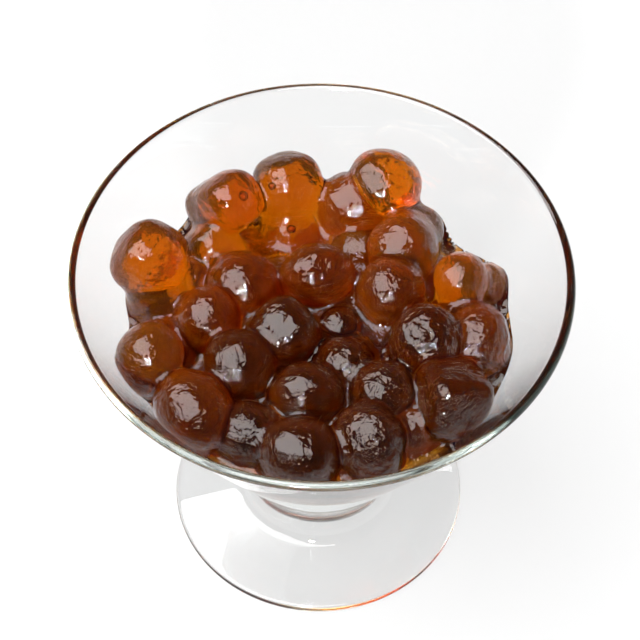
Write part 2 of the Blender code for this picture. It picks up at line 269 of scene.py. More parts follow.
# %% [markdown]
# ## The glass
#
# The dish was pressed and fire-polished as one piece: a flared bowl on thick solid glass, a short
# stem and a round foot. A profile carried once round the axis gives all of it, inside and outside
# in one closed surface, which is what glass needs to bend light rightly. A lathe with a Screw
# modifier would do as well; the arrays keep the profile in plain sight. The foot is pushed up
# underneath, so it stands on a ring. That hollow was never polished and waves a little. On the
# real dish the stem shows dark curved lines; here only a faint trace of them is seen.


# %% Glass profile and surface
WALL_FOOT_PULL = 8.0  # how far the handles of the section's curves reach along their tangents
BOTTOM_PULL = 16.0
SHOULDER_PULL = 7.0
ABOVE_WAIST_PULL = 3.5
BELOW_WAIST_PULL = 3.0
STEM_FOOT_PULL = np.array((-1.8, 0.5))
HOLLOW_EDGE_PULL = np.array((-12.0, 1.0))
HOLLOW_TOP_PULL = 5.0
GLASS_COLUMNS = 288
BOTTOM_STEPS = 36
INNER_WALL_STEPS = 36
LIP_STEPS = 20
OUTER_WALL_STEPS = 40
UPPER_STEM_STEPS = 26
LOWER_STEM_STEPS = 20
FOOT_TOP_STEPS = 14
EDGE_START = 80  # degrees on the round edge where the sloping top of the foot ends
EDGE_STEPS = 14
RING_STEPS = 4
HOLLOW_STEPS = 36
HOLLOW_WAVE = 0.12
HOLLOW_WAVE_LENGTH = 5.0
HOLLOW_SEED = 5


def bezier(start, start_pull, end_pull, end, steps):
    """Points of a cubic Bezier curve, for t from 0 to 1: the ends weigh (1-t)^3 and t^3, and the
    pulls 3t(1-t)^2 and 3t^2(1-t)."""
    t = np.linspace(0, 1, steps + 1)[:, None]
    near = (1 - t) ** 3 * start + 3 * t * (1 - t) ** 2 * start_pull
    return near + 3 * t**2 * (1 - t) * end_pull + t**3 * end


def arc(centre, radius, from_degrees, to_degrees, steps):
    """Points of a circle's arc: the centre plus radius times (cos, sin) of evenly spaced angles."""
    angle = np.radians(np.linspace(from_degrees, to_degrees, steps + 1))
    return centre + radius * np.stack([np.cos(angle), np.sin(angle)], -1)


def straight(start, end, steps):
    """Evenly spaced points of a straight line, both ends included."""
    return start + (end - start) * np.linspace(0, 1, steps + 1)[:, None]


def bowl_bottom(steps):
    """The round bottom of the bowl in radius and height, from the axis out to the inner wall."""
    wall_foot = INNER_CURVE - WALL_FOOT_PULL * np.array((WALL_RUN, 1.0))
    return bezier(BOWL_BOTTOM, BOWL_BOTTOM + (BOTTOM_PULL, 0.0), wall_foot, INNER_CURVE, steps)


def glass_profile():
    """The whole section: up the inside, over the lip, down the outside, under the foot."""
    inner_wall = straight(INNER_CURVE, LIP_INSIDE, INNER_WALL_STEPS)
    lip = arc((LIP_OUTSIDE + LIP_INSIDE) / 2, LIP_THICKNESS / 2, 180, 0, LIP_STEPS)
    outer_wall = straight(LIP_OUTSIDE, SHOULDER, OUTER_WALL_STEPS)
    slope = (LIP_OUTSIDE - SHOULDER) / (LIP_OUTSIDE[1] - SHOULDER[1])
    below_shoulder = SHOULDER - SHOULDER_PULL * slope
    above_waist = WAIST + (0, ABOVE_WAIST_PULL)
    upper_stem = bezier(SHOULDER, below_shoulder, above_waist, WAIST, UPPER_STEM_STEPS)
    below_waist = WAIST - (0, BELOW_WAIST_PULL)
    above_foot = STEM_FOOT + STEM_FOOT_PULL
    lower_stem = bezier(WAIST, below_waist, above_foot, STEM_FOOT, LOWER_STEM_STEPS)
    edge_centre = np.array((FOOT_RADIUS - FOOT_EDGE / 2, FOOT_EDGE / 2))
    edge = arc(edge_centre, FOOT_EDGE / 2, EDGE_START, -90, EDGE_STEPS)
    foot_top = straight(STEM_FOOT, edge[0], FOOT_TOP_STEPS)
    hollow_start = np.array((FOOT_FLAT_INNER_RADIUS, 0.0))
    hollow_top = np.array((0.0, UNDERSIDE_HOLLOW))
    ring = straight(edge[-1], hollow_start, RING_STEPS)
    top_pull = hollow_top + (HOLLOW_TOP_PULL, 0)
    edge_pull = hollow_start + HOLLOW_EDGE_PULL
    hollow = bezier(hollow_start, edge_pull, top_pull, hollow_top, HOLLOW_STEPS)
    stretches = [inner_wall, lip, outer_wall, upper_stem, lower_stem, foot_top, edge, ring, hollow]
    return np.concatenate([bowl_bottom(BOTTOM_STEPS)] + [stretch[1:] for stretch in stretches])


def turned(profile, columns):
    """A profile carried round the axis: (r cos a, r sin a, h), closed by its two ends on the axis."""
    angle = np.linspace(0, 2 * math.pi, columns, endpoint=False)
    radius, height = profile[1:-1, :1], profile[1:-1, 1:]
    rows = np.stack([radius * np.cos(angle), radius * np.sin(angle), height + 0 * angle], -1)
    ends = [(0, 0, profile[0, 1])], [(0, 0, profile[-1, 1])]
    return np.concatenate([ends[0], rows.reshape(-1, 3), ends[1]])


def waved_underneath(points, rows):
    """The last rows, the hollow under the foot, moved up and down by waves that die out outwards."""
    under = points[-rows * GLASS_COLUMNS - 1 :]
    fade = 1 - (np.hypot(under[:, 0], under[:, 1]) / FOOT_FLAT_INNER_RADIUS) ** 2
    wave = uneven(under * (1, 1, 0), HOLLOW_WAVE_LENGTH, HOLLOW_SEED)
    under[:, 2] += HOLLOW_WAVE * wave * fade
    return points


section = glass_profile()
glass = make_piece(
    "glass_dish",
    waved_underneath(turned(section, GLASS_COLUMNS), HOLLOW_STEPS - 1),
    wrapped_faces(len(section) - 2, GLASS_COLUMNS),
    glass_look,
)
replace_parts(glass, "glass")

# %% [markdown]
# ## Where the pearls lie
#
# The pearls that show are listed as a cook would lay them: those against the glass, those
# between, and those in the middle. Each has its bearing round the dish in degrees, its reach
# from the axis, its diameter, its lift above the heap's height, its form, and its look, from
# amber to dark. The look is partly the pearl's own colour and partly painted light: the pearls
# at the back are mostly amber, a painted glow for the light that shines through them from
# behind, and those in the middle and at the front mostly umber and dark, painted shade of the
# heap. Real pearls are soft: those at the sides are flattened by the wall, and a few are long,
# wide or almost blocks. Some turn a flat face or a blunt edge to the light, and one is a cap,
# narrower below its dome. The ones with a wrinkled skin are marked.

# %% The pearls that show
HEAP_HEIGHT = 62.0
# The last word of each row is the pearl's look. It is partly its own colour and partly painted light:
# amber at the back for light shining through from behind, umber and dark in the middle and front for
# the shade of the heap.
AGAINST_THE_GLASS = [
    (18, 33.5, 8.0, -3.0, "round", "amber"),
    (51, 29.3, 10.5, -2.5, "edged", "amber"),
    (67, 32.0, 12.5, 4.5, "cap", "amber"),
    (78, 28.0, 13.5, -0.5, "round", "brown"),
    (103, 30.5, 13.0, 2.5, "edged", "amber"),
    (127, 30.0, 11.0, 5.0, "edged", "amber"),
    (129, 33.3, 10.5, 1.0, "edged", "amber"),
    (165, 34.0, 13.3, 5.5, "edged", "amber"),
    (171, 31.8, 11.5, -1.0, "round", "amber"),
    (203, 36.5, 9.5, 1.5, "round", "umber"),
    (201, 34.0, 12.0, 3.5, "round", "honey"),
    (224, 32.5, 14.5, 0.5, "wide", "umber"),
    (243, 29.0, 12.0, -2.0, "round", "dark wrinkled"),
    (263, 31.0, 13.5, -0.5, "wide", "dark"),
    (288, 29.5, 13.0, -0.5, "long", "dark wrinkled"),
    (306, 29.0, 9.0, -3.5, "round", "umber"),
    (322, 31.2, 13.6, 0.8, "block", "dark"),
    (351, 30.5, 12.0, -0.5, "wide", "umber wrinkled"),
]
BETWEEN = [
    (16, 28.0, 10.5, 2.0, "round", "amber"),
    (45, 22.5, 13.0, 1.0, "round", "brown"),
    (69, 19.0, 9.0, -3.0, "round", "honey"),
    (105, 24.5, 10.0, -3.5, "edged", "amber"),
    (141, 27.5, 10.5, -2.0, "edged", "amber"),
    (157, 27.5, 8.0, -3.0, "round", "amber"),
    (192, 30.5, 12.0, -4.0, "round", "umber"),
    (2, 27.0, 10.5, -3.5, "round", "umber"),
    (155, 16.5, 13.5, 0.0, "round", "umber"),
    (184, 21.5, 12.0, 0.5, "round", "umber"),
    (219, 19.5, 13.0, 0.5, "round", "dark"),
    (262, 18.5, 12.5, 0.0, "wide", "dark"),
    (305, 21.0, 11.5, -0.5, "round", "dark wrinkled"),
    (333, 18.0, 9.5, -5.0, "round", "dark"),
    (341, 21.0, 13.0, 2.5, "round", "dark wrinkled"),
]
IN_THE_MIDDLE = [
    (22, 14.5, 12.5, 1.0, "round", "umber"),
    (55, 8.5, 8.0, -4.0, "round", "brown"),
    (94, 8.5, 12.5, 2.0, "wide", "umber"),
    (125, 13.5, 8.0, -3.5, "round", "brown"),
    (191, 13.0, 7.5, -3.5, "round", "brown"),
    (217, 8.5, 12.0, 2.0, "faced", "dark"),
    (265, 6.0, 7.5, -3.5, "round", "dark"),
    (295, 11.5, 10.5, -1.5, "round", "dark wrinkled"),
    (357, 3.5, 6.5, -2.5, "round", "dark"),
]
SHOWN = AGAINST_THE_GLASS + BETWEEN + IN_THE_MIDDLE
FORMS = {  # stretch along its own axes, power that flattens its sides, neck, what turns to the light
    "round": ((1, 1, 1), 2.0, 0.0, None),
    "long": ((1.14, 0.9, 1.04), 2.0, 0.0, None),
    "wide": ((0.93, 1.12, 0.97), 2.0, 0.0, None),
    "cap": ((1.08, 1.08, 0.92), 2.0, 0.24, None),
    "faced": ((1, 1, 1), 2.6, 0.0, (0, 0, 1)),
    "edged": ((1, 1, 1), 2.7, 0.0, (1, 1, 1)),
    "block": ((1, 1, 1), 4.5, 0.0, (1, 1, 1)),
}
print(len(SHOWN), "pearls show")

# %% [markdown]
# ## What lies sunk in the syrup
#
# Below the heap the bowl is full of pearls that only show from the side, through the glass. They
# lie in layers of rings, each ring against the wall or against the ring outside it, with a little
# disorder. Those near the wall at the back are painted paler, for the light that shines through
# them from behind.

# %% The sunk pearls
SUNK_DIAMETER = 12.2
LAYERS = [(42.8, ((13.5, 7), (1.0, 1))), (50.0, ((25.5, 13), (13.5, 6), (1.5, 1)))]
MIDDLE_REACH = 20.0  # the sunk pearls beyond this reach and between these bearings, at the back, are painted paler for light shining through them from behind
PAINTED_BACKLIT_FROM = 75
PAINTED_BACKLIT_TO = 175
SUNK_SEED = 11
BEARING_DISORDER = -4.0, 4.0  # in degrees
DIAMETER_DISORDER = -1.0, 0.8
LIFT_DISORDER = -0.8, 0.8


def sunk_rows():
    """Rings of pearls in layers, each turned by a third of its spacing against the one below."""
    rng = np.random.default_rng(SUNK_SEED)
    rows = []
    for layer, (height, rings) in enumerate(LAYERS):
        for reach, count in rings:
            for number in range(count):
                bearing = 360 * (number + layer / 3) / count + rng.uniform(*BEARING_DISORDER)
                diameter = SUNK_DIAMETER + rng.uniform(*DIAMETER_DISORDER)
                lift = height - HEAP_HEIGHT + rng.uniform(*LIFT_DISORDER)
                # Painted light: sunk pearls near the wall at the back get the paler honey look, for the
                # light that shines through them from behind.
                painted_backlit = reach > MIDDLE_REACH and PAINTED_BACKLIT_FROM < bearing < PAINTED_BACKLIT_TO
                look = "honey" if painted_backlit else "sunk"
                rows.append((bearing, reach, diameter, lift, "round", look))
    return rows


SUNK = sunk_rows()
print(len(SUNK), "pearls are sunk")

# %% [markdown]
# ## The form of one pearl
#
# A pearl is a ball stretched to its form and made a little lumpy. Two things are needed of it:
# its surface, for the pearl itself, and the distance of any point from it, for the skin of syrup
# that covers the whole heap. Both are worked out from the same numbers, so the skin fits the
# pearl.


# %% Pearls as numbers
PEARL_SEED = 7
LEAN_DISORDER = -0.35, 0.35  # in radians
TURN_DISORDER = -0.3, 0.3
STRETCH_DISORDER = 0.96, 1.04
LUMP_PLACES = 50  # each pearl takes its lumps from another place of the field, up to this far off
LUMP_SEED = 3
LUMP = 0.035
LUMPS_ACROSS = 1.4
SMALLER = 0.05  # how much smaller a pearl is made for each step of its power above 2
NECK_FROM = 0.5  # how far down, as a share of the radius, a cap has become narrow
TO_LIGHT = Vector((-0.24, -0.39, 0.89))  # halfway between the camera and the softbox
SWELL = 1.03  # soaked with syrup, the pearls are a little larger and press together


def pearl_numbers(rows):
    """Centre, radius, own axes, stretch, power, neck, noise offset and look of each listed pearl."""
    rng = np.random.default_rng(PEARL_SEED)
    pearls = []
    for bearing, reach, diameter, lift, form, words in rows:
        angle = math.radians(bearing)
        centre = np.array((reach * math.cos(angle), reach * math.sin(angle), HEAP_HEIGHT + lift))
        lean = Matrix.Rotation(rng.uniform(*LEAN_DISORDER), 3, "X")
        turn = Matrix.Rotation(angle + rng.uniform(*TURN_DISORDER), 3, "Z")
        stretch, power, neck, upper = FORMS[form]
        stretch = np.array(stretch) * rng.uniform(*STRETCH_DISORDER, 3)
        offset = rng.uniform(0, LUMP_PLACES, 3)
        look, *skin = words.split()
        axes = turn @ lean
        if upper:
            raised = Vector(upper).rotation_difference(TO_LIGHT).to_matrix()
            axes = Matrix.Rotation(angle, 3, TO_LIGHT) @ raised
        pearls.append(
            dict(centre=centre, radius=SWELL * diameter / 2, axes=np.array(axes), stretch=stretch,
                 offset=offset, power=power, neck=neck, look=look, wrinkled=bool(skin))
        )
    return pearls


def size_towards(pearl, ways):
    """A pearl's size in given directions of its own, as a share of its radius: 1 plus its lumps.

    The direction's length, measured with a higher power than 2, is divided out, which draws the
    sides flat and leaves the corners round. A cap is drawn in below its dome.
    """
    power = pearl["power"]
    size = 1 + LUMP * uneven(ways * LUMPS_ACROSS + pearl["offset"], 1.0, LUMP_SEED)
    size = size * (1 - SMALLER * (power - 2)) * (np.abs(ways) ** power).sum(-1) ** (-1 / power)
    below = np.clip(-ways[:, 2] / NECK_FROM, 0, 1)
    return size * (1 - pearl["neck"] * below**2 * (3 - 2 * below))


def distance_to(pearl, points):
    """How far points are outside a pearl, in millimetres, and below zero inside it."""
    own = (points - pearl["centre"]) @ pearl["axes"] / pearl["stretch"]
    length = np.linalg.norm(own, axis=-1) + 1e-9
    return length - pearl["radius"] * size_towards(pearl, own / length[:, None])


shown_pearls = pearl_numbers(SHOWN)
sunk_pearls = pearl_numbers(SUNK)

# %% [markdown]
# ## The skin of syrup
#
# On the real dish one unbroken skin of syrup runs over everything: it covers each pearl, fills
# the creases between them with a small round, and stands a little higher in the middle, where the
# heap draws it up. It climbs a little up the glass, but not beside the pearls that stand free
# above it, and in a bay at the back right it has sunk away between the pearls.
#
# Modelled pearl by pearl, every crease would be a hard cut. So the skin is one surface of a field
# instead: the distance to the nearest pearl and to the level, blended where they meet. It reaches
# just into the glass, because an air gap there would shine like silver.


# %% The field that the skin follows
SKIN = 0.2  # thickness of syrup over a pearl
CREASE = 2.0  # width over which two pearls blend
MENISCUS = 2.6  # the same for pearl and level
DRAWN_UP = 3.4  # how much higher the syrup stands in the middle
DRAWN_REACH = 36.0
CLIMB = 1.0  # how high the syrup climbs up the glass
CLIMB_REACH = 1.4  # and over which distance from it
CLIMB_TOP = 62.0  # above this height the pearls that touch the glass are free of it
CLIMB_FADE = 3.0
BAY = np.array((26.0, 22.0))  # a place by the wall where the syrup has sunk away between pearls
BAY_WIDTH = 6.0
BAY_DEPTH = 3.0
INTO_GLASS = 0.15
NEAR = 3.5  # a pearl is only asked about points this close to it
WIDEST_FORM = 1.2  # how far a pearl may reach from its centre, as a share of its radius
BOTTOM_REACH = 8.0  # how far above its end the bottom's curve can still be the nearest glass
OUTLINE_STEPS = 24


def into_bowl(points):
    """How far points are from the glass into the bowl: the nearest of the wall's line and the
    bottom's curve, and below zero inside the glass."""
    radius = np.hypot(points[:, 0], points[:, 1])
    height = points[:, 2]
    wall = (INNER_CURVE[0] + (height - INNER_CURVE[1]) * WALL_RUN - radius) * WALL_SINE
    low = height < INNER_CURVE[1] + BOTTOM_REACH
    outline = bowl_bottom(OUTLINE_STEPS)
    start, end = outline[:-1], outline[1:]
    here = np.stack([radius[low], height[low]], -1)[:, None]
    along = end - start
    share = np.clip(((here - start) * along).sum(-1) / (along**2).sum(-1), 0, 1)
    away = here - (start + share[..., None] * along)
    gap = np.hypot(away[..., 0], away[..., 1])
    nearest = gap.argmin(-1)
    pick = np.arange(len(nearest))
    side = along[nearest, 0] * away[pick, nearest, 1] - along[nearest, 1] * away[pick, nearest, 0]
    bottom = np.sign(side) * gap[pick, nearest]
    wall[low] = np.where(height[low] < INNER_CURVE[1], bottom, np.minimum(bottom, wall[low]))
    return wall


def filling(points):
    """How far points are outside the pearls and the syrup, if there were no glass to hold them."""
    gap = np.full(len(points), NEAR)
    for pearl in shown_pearls:
        reach = pearl["radius"] * WIDEST_FORM + NEAR
        near = np.flatnonzero((np.abs(points - pearl["centre"]) < reach).all(-1))
        gap[near] = soft_min(gap[near], distance_to(pearl, points[near]) - SKIN, CREASE)
    out = np.hypot(points[:, 0], points[:, 1]) / DRAWN_REACH
    level = points[:, 2] - SYRUP_LEVEL - DRAWN_UP * np.maximum(1 - out**2, 0)
    level += BAY_DEPTH * np.exp(-((points[:, :2] - BAY) ** 2).sum(-1) / BAY_WIDTH**2)
    climb = CLIMB * np.exp(-np.maximum(into_bowl(points), 0) / CLIMB_REACH)
    climb *= np.clip((CLIMB_TOP - points[:, 2]) / CLIMB_FADE, 0, 1)
    return soft_min(gap, level, MENISCUS) - climb


def inside_glass(points):
    """How far points are outside the room that the filling may take, a little into the glass."""
    return -(into_bowl(points) + INTO_GLASS)


def outside_skin(points):
    """The field: below zero inside the filling, zero on its skin."""
    return np.maximum(filling(points), inside_glass(points))


# %% [markdown]
# ## From the field to a surface
#
# Surface nets turn a field into a mesh: each cell of a grid that the surface runs through gets
# one point, at the mean of where the surface cuts the cell's edges, and each cut edge gets one
# face between the four cells around it. The points are then pulled exactly onto the surface.
# Where the syrup meets the glass the surface has an edge, and the points of the cells that it
# runs through are pulled onto both surfaces at once, so that it isn't ragged.


# %% Surface nets
def surface_nets(field, lines):
    """Points, outward faces and cells of the zero surface of a field on a grid of lines."""
    inside = field < 0
    shifts = list(itertools.product((0, 1), repeat=3))
    counts = [size - 1 for size in field.shape]

    def corner(grid, i, j, k):
        """The value at one corner of every cell, named by its place in the cell."""
        return grid[i : counts[0] + i, j : counts[1] + j, k : counts[2] + k]

    filled = sum(corner(inside, *shift).astype(np.int8) for shift in shifts)
    cut = (filled > 0) & (filled < 8)
    cells = np.argwhere(cut)
    number = np.full(cut.shape, -1)
    number[cut] = np.arange(len(cells))
    total = np.zeros((len(cells), 3))
    cuts = np.zeros(len(cells))
    for axis in range(3):
        others = [other for other in range(3) if other != axis]
        for step in itertools.product((0, 1), repeat=2):
            near = cells.copy()
            near[:, others] += step
            far = near.copy()
            far[:, axis] += 1
            here, there = field[tuple(near.T)], field[tuple(far.T)]
            crossed = (here < 0) != (there < 0)
            share = np.where(crossed, here / np.where(crossed, here - there, 1), 0)
            place = np.stack([lines[a][near[:, a]] for a in range(3)], -1)
            place[:, axis] += share * (lines[axis][far[:, axis]] - lines[axis][near[:, axis]])
            total += place * crossed[:, None]
            cuts += crossed
    faces = []
    for axis in range(3):
        first, second = (axis + 1) % 3, (axis + 2) % 3
        low, high = [slice(1, -1)] * 3, [slice(1, -1)] * 3
        low[axis], high[axis] = slice(0, -1), slice(1, None)
        here, there = inside[tuple(low)], inside[tuple(high)]
        for leaving in (True, False):
            edges = np.argwhere(here & ~there if leaving else ~here & there)
            edges[:, [first, second]] += 1
            around = []
            for back_first, back_second in ((1, 1), (0, 1), (0, 0), (1, 0)):
                cell = edges.copy()
                cell[:, first] -= back_first
                cell[:, second] -= back_second
                around.append(number[tuple(cell.T)])
            quad = np.stack(around, -1)
            faces.append(quad if leaving else quad[:, ::-1])
    return total / cuts[:, None], np.concatenate(faces), cells


def gradient(field, points, step=0.02):
    """The field's slope along x, y and z, from its values a small step to either side."""
    sides = [field(points + step * way) - field(points - step * way) for way in np.eye(3)]
    return np.stack(sides, -1) / (2 * step)


def pulled_onto(field, points, rounds=2, farthest=0.3):
    """Points moved down the field's slope until it is zero, by Newton's step value / slope."""
    for _ in range(rounds):
        slope = gradient(field, points)
        step = (field(points) / np.maximum((slope**2).sum(-1), 0.05))[:, None] * slope
        length = np.linalg.norm(step, axis=-1, keepdims=True)
        points = points - step * np.minimum(1, farthest / np.maximum(length, 1e-9))
    return points


def pulled_onto_both(first, second, points, rounds=4):
    """Points moved by the shortest way to where two fields are zero together.

    Each round solves the two equations slope . way = value for a way that is made of the two
    slopes alone.
    """
    for _ in range(rounds):
        a, b = gradient(first, points), gradient(second, points)
        value_a, value_b = first(points), second(points)
        aa, ab, bb = (a * a).sum(-1), (a * b).sum(-1), (b * b).sum(-1)
        spread = np.maximum(aa * bb - ab**2, 0.02)
        share_a = (bb * value_a - ab * value_b) / spread
        share_b = (aa * value_b - ab * value_a) / spread
        points = points - share_a[:, None] * a - share_b[:, None] * b
    return points


# %% [markdown]
# ## Making the skin
#
# The grid is laid over the bowl, the field is asked at each of its points, and the net is drawn.
# The finest relief is added last, straight onto the points: faint ripples wherever the syrup
# doesn't touch the glass, because thick syrup never settles quite smooth, and folds on the
# wrinkled pearls. Each point also learns how strong the fine waves and the wrinkles are there.

# %% The syrup
CELL = 0.5
FINE_FROM = 53.0  # the pearls and the level are above this height
COARSE = 1.5
HALF = 42.5
RIPPLE = 0.11
RIPPLE_LENGTH = 2.8
RIPPLE_SEED = 21
FOLD = 0.35  # height of the folds on the wrinkled pearls
FOLD_LENGTH = 2.4
FOLD_SEED = 22
FOLD_MIDDLE = 0.25  # the share of their height that lies above the smooth skin
CALM_AMBER = 0.3  # how much weaker the fine waves are on the amber pearls
EDGE_MARGIN = 0.1  # how far outside its cell a point on the syrup's edge may lie
SHARP_ANGLE = math.radians(60)


def on_pearls(points, pearls):
    """1 on some of the pearls, 0 elsewhere, with a soft change between."""
    value = np.zeros(len(points))
    for pearl in pearls:
        value = np.maximum(value, np.clip(1 - distance_to(pearl, points), 0, 1))
    return value


def wrinkles_at(points):
    """How wrinkled the skin is at each point: wholly so on the wrinkled pearls, not at all off them."""
    return on_pearls(points, [pearl for pearl in shown_pearls if pearl["wrinkled"]])


def off_glass(points):
    """0 where the syrup touches the glass, 1 from a millimetre off it, with a soft change between."""
    return np.clip(into_bowl(points), 0, 1)


def waves_at(points):
    """How strong the fine waves are: none on the glass, and weaker on the smooth amber pearls."""
    amber = [pearl for pearl in shown_pearls if pearl["look"] == "amber"]
    return off_glass(points) * (1 - CALM_AMBER * on_pearls(points, amber))


def skin_surface():
    """The net of the skin, pulled onto its field and its edge, and rippled along its normals."""
    across = np.arange(-HALF, HALF + CELL, CELL)
    below = np.arange(BOWL_BOTTOM[1] - 1.0, FINE_FROM, COARSE)
    lines = across, across, np.concatenate([below, np.arange(FINE_FROM, HEIGHT, CELL)])
    grid = np.stack(np.meshgrid(*lines, indexing="ij"), -1)
    field = outside_skin(grid.reshape(-1, 3)).reshape(grid.shape[:3])
    points, faces, cells = surface_nets(field, lines)
    low = np.stack([lines[axis][cells[:, axis]] for axis in range(3)], -1)
    high = np.stack([lines[axis][cells[:, axis] + 1] for axis in range(3)], -1)
    close = np.maximum(np.abs(filling(points)), np.abs(inside_glass(points))) < 2 * CELL
    corner = pulled_onto_both(filling, inside_glass, points[close])
    own = (corner > low[close] - EDGE_MARGIN) & (corner < high[close] + EDGE_MARGIN)
    on_edge = np.zeros(len(points), bool)
    on_edge[close] = own.all(-1)
    points = np.where(on_edge[:, None], points, pulled_onto(outside_skin, points))
    points[on_edge] = corner[own.all(-1)]
    slope = gradient(outside_skin, points)
    normals = slope / np.linalg.norm(slope, axis=-1, keepdims=True)
    creased = FOLD_MIDDLE - np.abs(uneven(points, FOLD_LENGTH, FOLD_SEED))
    folds = FOLD * creased * wrinkles_at(points)
    ripples = RIPPLE * uneven(points, RIPPLE_LENGTH, RIPPLE_SEED)
    relief = (ripples + folds) * off_glass(points)
    return points + normals * relief[:, None], faces


skin_points, skin_faces = skin_surface()
print(len(skin_faces), "faces in the skin")

# %% [markdown]
# ## Bubbles
#
# A few small bubbles of air are caught under the skin. A bubble isn't a thing but a hole: where
# it is, there is no syrup. So its surface belongs to the syrup's own mesh, with its faces turned
# the other way, and light leaves the syrup there and comes back in.

# %% Bubbles and the syrup piece
BUBBLES = [  # the number of the pearl in the list, bearing and rise on it in degrees, radius
    (4, -130, 45, 0.8),
    (5, -33, 50, 1.0),
    (2, 82, 77, 0.4),
    (16, -87, 39, 0.45),
    (16, -105, 16, 0.5),
    (16, 179, 69, 0.4),
    (21, -85, 54, 0.9),
    (28, -90, 81, 0.9),
]
BUBBLE_DEPTH = 0.25
SEARCH_STEPS = 400  # along the line on which the skin over a bubble is looked for
BUBBLE_ROWS = 12
BUBBLE_COLUMNS = 20


def ball_directions(rows, columns):
    """Unit directions (sin b cos a, sin b sin a, cos b): a pole, the rows between, a pole."""
    down = np.linspace(0, math.pi, rows + 2)[1:-1, None]
    round_ = np.linspace(0, 2 * math.pi, columns, endpoint=False)
    middle = np.stack(
        [np.sin(down) * np.cos(round_), np.sin(down) * np.sin(round_), np.cos(down) + 0 * round_], -1
    )
    return np.concatenate([[(0, 0, 1)], middle.reshape(-1, 3), [(0, 0, -1)]])


def bubble_points(number, bearing, rise, radius):
    """A ball just under the skin: the skin is looked for along a line from the pearl's centre."""
    pearl = shown_pearls[number]
    turn, up = math.radians(bearing), math.radians(rise)
    way = np.array((math.cos(turn) * math.cos(up), math.sin(turn) * math.cos(up), math.sin(up)))
    reach = np.linspace(0, 2 * pearl["radius"], SEARCH_STEPS)
    skin = reach[np.argmax(outside_skin(pearl["centre"] + reach[:, None] * way) > 0)]
    middle = pearl["centre"] + way * (skin - BUBBLE_DEPTH - radius)
    return middle + radius * ball_directions(BUBBLE_ROWS, BUBBLE_COLUMNS)


syrup_points, syrup_faces = [skin_points], skin_faces.tolist()
first = len(skin_points)
for bubble in BUBBLES:
    syrup_points.append(bubble_points(*bubble))
    syrup_faces += [face[::-1] for face in wrapped_faces(BUBBLE_ROWS, BUBBLE_COLUMNS, first)]
    first += len(syrup_points[-1])
syrup_points = np.concatenate(syrup_points)
syrup = make_piece("syrup", syrup_points, syrup_faces, syrup_look)
syrup.data.set_sharp_from_angle(angle=SHARP_ANGLE)
for name, values in {WAVES: waves_at(syrup_points), WRINKLE: wrinkles_at(syrup_points)}.items():
    syrup.data.attributes.new(name, "FLOAT", "POINT").data.foreach_set("value", values)
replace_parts(syrup, "syrup")

# %% [markdown]
# ## The pearls inside the skin
#
# Each pearl is a ball of its own under the skin. Its rows of points run from pole to pole, and
# its size in each direction is its own form less the skin, cut short where a neighbour presses
# against it, and where the glass does. Pearls and syrup bend light almost alike, so a pearl shows
# through the syrup mostly by its own colour.


# %% Pearls
PEARL_ROWS = 22
PEARL_COLUMNS = 44
PRESS_GAP = 0.12  # left between two pearls that press against each other
PRESS_ROUND = 0.9  # width over which the pressed face rounds into the ball
GLASS_GAP = 0.35  # left between a pearl and the glass
GLASS_ROUNDS = 8  # how often a pearl is drawn back from the glass
APART = 1.0  # pearls with a wider gap than this don't press against each other
LEAST_FACING = 0.05  # directions that face a neighbour less than this don't meet it
UNLIMITED = 99.0
LEAST_TO_PEARL = 1.0  # a pearl keeps at least this reach from its centre towards a neighbour
LEAST_TO_GLASS = 0.5  # and this towards the glass


def pearl_surface(pearl, neighbours):
    """Points of a pearl: from its centre along each direction, as far as its form, a neighbour's
    pressed face or the glass lets it reach."""
    ways = ball_directions(PEARL_ROWS, PEARL_COLUMNS)
    arms = (ways * pearl["stretch"]) @ pearl["axes"].T
    reach = pearl["radius"] * size_towards(pearl, ways) - SKIN
    for other in neighbours:
        across = other["centre"] - pearl["centre"]
        gap = float(np.linalg.norm(across))
        if other is pearl or gap > pearl["radius"] + other["radius"] + APART:
            continue
        across = across / gap
        middle = (gap**2 + pearl["radius"] ** 2 - other["radius"] ** 2) / (2 * gap) - PRESS_GAP / 2
        facing = arms @ across
        met = middle / np.maximum(facing, LEAST_FACING)
        limit = np.where(facing > LEAST_FACING, met, UNLIMITED)
        reach = soft_min(reach, np.maximum(limit, LEAST_TO_PEARL), PRESS_ROUND)
    for _ in range(GLASS_ROUNDS):
        room = into_bowl(pearl["centre"] + arms * reach[:, None]) - GLASS_GAP
        reach = np.maximum(reach + np.minimum(room, 0), LEAST_TO_GLASS)
    return pearl["centre"] + arms * reach[:, None]


def pearls_of(look, pearls, name):
    """All pearls of one look, joined into one piece."""
    chosen = [pearl for pearl in pearls if pearl["look"] == look]
    points, faces, first = [], [], 0
    for pearl in chosen:
        points.append(pearl_surface(pearl, pearls))
        faces += wrapped_faces(PEARL_ROWS, PEARL_COLUMNS, first)
        first += len(points[-1])
    return make_piece(name, np.concatenate(points), faces, PEARL_LOOKS[look])


everything = shown_pearls + sunk_pearls
for look in PEARL_LOOKS:
    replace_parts(pearls_of(look, everything, f"pearls_{look}"), "pearls")

# %% [markdown]
# ## Floor and room
#
# The dish stands on plain white that is lit from below as well, like a photographer's light
# table. That keeps the clear glass light and lets the amber pearls glow. The sheet fades in front
# of the dish, and the room is white at the horizon behind and dim in front and above: the
# dimness is what the pearls mirror beside the lights, and keeps their browns deep.


